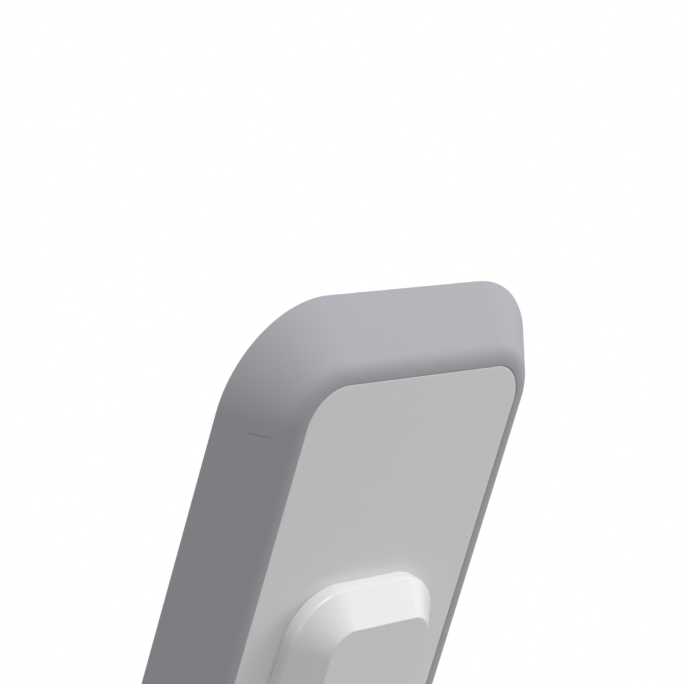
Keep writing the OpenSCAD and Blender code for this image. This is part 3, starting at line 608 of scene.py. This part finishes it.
# The nodes that keep their own shapes take the material of their slot.
NODE_SLOTS = {
    "coil_upper": "copper_wire", "coil_lower": "copper_wire",
    "ferrite_sheet": "ferrite", "power_inductor": "ferrite",
    "coil_carrier": "black_moulding", "thermistor": "black_moulding",
    "stem_lead": "black_moulding", "base_bottom": "black_moulding",
    "controller_chip": "black_moulding", "socket_tongue": "black_moulding",
    "head_screws": "screw_steel", "stem_head_screws": "screw_steel",
    "stem_base_screws": "screw_steel", "base_screws": "screw_steel",
    "board_screws": "screw_steel", "power_socket": "screw_steel",
    "coil_terminal": "cream_terminal", "board_terminal": "cream_terminal",
    "status_led": "cream_terminal", "ballast_plate": "ballast_iron",
    "driver_board": "circuit_board", "resonance_capacitors": "capacitor_body",
    "light_guide": "clear_guide", "foot_pad": "rubber_pad",
}
for node, slot in NODE_SLOTS.items():
    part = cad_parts[node]
    for place in part.material_slots:
        place.material = MATERIALS[slot]


# --- Floor, light and camera ---


def floor():
    """A pale floor that catches the shadow near the stand and turns to white further out."""
    corners = [(x * FLOOR_HALF, y * FLOOR_HALF, 0) for x, y in ((-1, -1), (1, -1), (1, 1), (-1, 1))]
    mesh = bpy.data.meshes.new("studio_floor")
    mesh.from_pydata(corners, [], [(0, 1, 2, 3)])
    ground = bpy.data.objects.new("studio_floor", mesh)
    bpy.context.scene.collection.objects.link(ground)
    material = bpy.data.materials.new("pale_studio_floor")
    material.use_nodes = True
    tree = material.node_tree
    tree.nodes.clear()
    place = add(tree, "ShaderNodeTexCoord", {}).outputs["Object"]
    away = add(tree, "ShaderNodeVectorMath", {0: place}, operation="LENGTH")
    faded = add(tree, "ShaderNodeMapRange", {
        "Value": away.outputs["Value"], "From Min": FADE_START, "From Max": FADE_END,
    }, interpolation_type="SMOOTHSTEP")
    near = add(tree, "ShaderNodeBsdfDiffuse", {"Color": (*[FLOOR_SEEN] * 3, 1)})
    far = add(tree, "ShaderNodeEmission", {"Color": (1, 1, 1, 1), "Strength": 1.0})
    seen = add(tree, "ShaderNodeMixShader", {
        0: faded.outputs["Result"], 1: near.outputs[0], 2: far.outputs[0],
    })
    lit = add(tree, "ShaderNodeBsdfDiffuse", {"Color": (*[FLOOR_LIT] * 3, 1)})
    ray = add(tree, "ShaderNodeLightPath", {})
    both = add(tree, "ShaderNodeMixShader", {
        0: ray.outputs["Is Camera Ray"], 1: lit.outputs[0], 2: seen.outputs[0],
    })
    add(tree, "ShaderNodeOutputMaterial", {"Surface": both.outputs[0]})
    mesh.materials.append(material)


def sky():
    """An even pale surrounding: white to the camera and to reflections, dimmer as a light."""
    world = bpy.data.worlds.new("studio")
    bpy.context.scene.world = world
    world.use_nodes = True
    tree = world.node_tree
    tree.nodes.clear()
    ray = add(tree, "ShaderNodeLightPath", {})
    mirrored = add(tree, "ShaderNodeMath", {
        0: ray.outputs["Is Camera Ray"], 1: ray.outputs["Is Glossy Ray"],
    }, operation="MAXIMUM")
    shown = add(tree, "ShaderNodeMath", {
        0: mirrored.outputs[0], 1: ray.outputs["Is Transmission Ray"],
    }, operation="MAXIMUM")
    strength = add(tree, "ShaderNodeMapRange", {
        "Value": shown.outputs[0], "To Min": SKY_LIGHT, "To Max": 1.0,
    })
    background = add(tree, "ShaderNodeBackground", {
        "Color": (1, 1, 1, 1), "Strength": strength.outputs["Result"],
    })
    add(tree, "ShaderNodeOutputWorld", {"Surface": background.outputs[0]})


def softbox(name, azimuth, elevation, distance, size, power, reflected):
    """A square soft lamp aimed at the middle of the stand. Azimuth 90 is on the +Y side.

    Where reflected is False it lights the stand and casts its shadow, but shows in no reflection.
    """
    lamp = bpy.data.lights.new(name, "AREA")
    lamp.size = size
    lamp.energy = power
    turn, rise = math.radians(azimuth), math.radians(elevation)
    box = bpy.data.objects.new(name, lamp)
    box.location = (
        distance * math.cos(rise) * math.cos(turn),
        distance * math.cos(rise) * math.sin(turn),
        AIM_HEIGHT + distance * math.sin(rise),
    )
    box.rotation_euler = (math.pi / 2 - rise, 0, turn + math.pi / 2)
    box.visible_glossy = reflected
    bpy.context.scene.collection.objects.link(box)


def camera():
    """The photograph's view: from behind and a little above, through a long lens."""
    lens = bpy.data.cameras.new("photo_camera")
    lens.lens = FOCAL_LENGTH
    lens.sensor_width = SENSOR_WIDTH
    lens.clip_start = NEAREST
    view = bpy.data.objects.new("photo_camera", lens)
    view.location = CAMERA_PLACE
    view.rotation_euler = [math.radians(turn) for turn in CAMERA_TURNS]
    bpy.context.scene.collection.objects.link(view)
    bpy.context.scene.camera = view


floor()
sky()
for name, settings in LAMPS.items():
    softbox(name, *settings)
camera()
bpy.context.scene.view_settings.view_transform = "Standard"
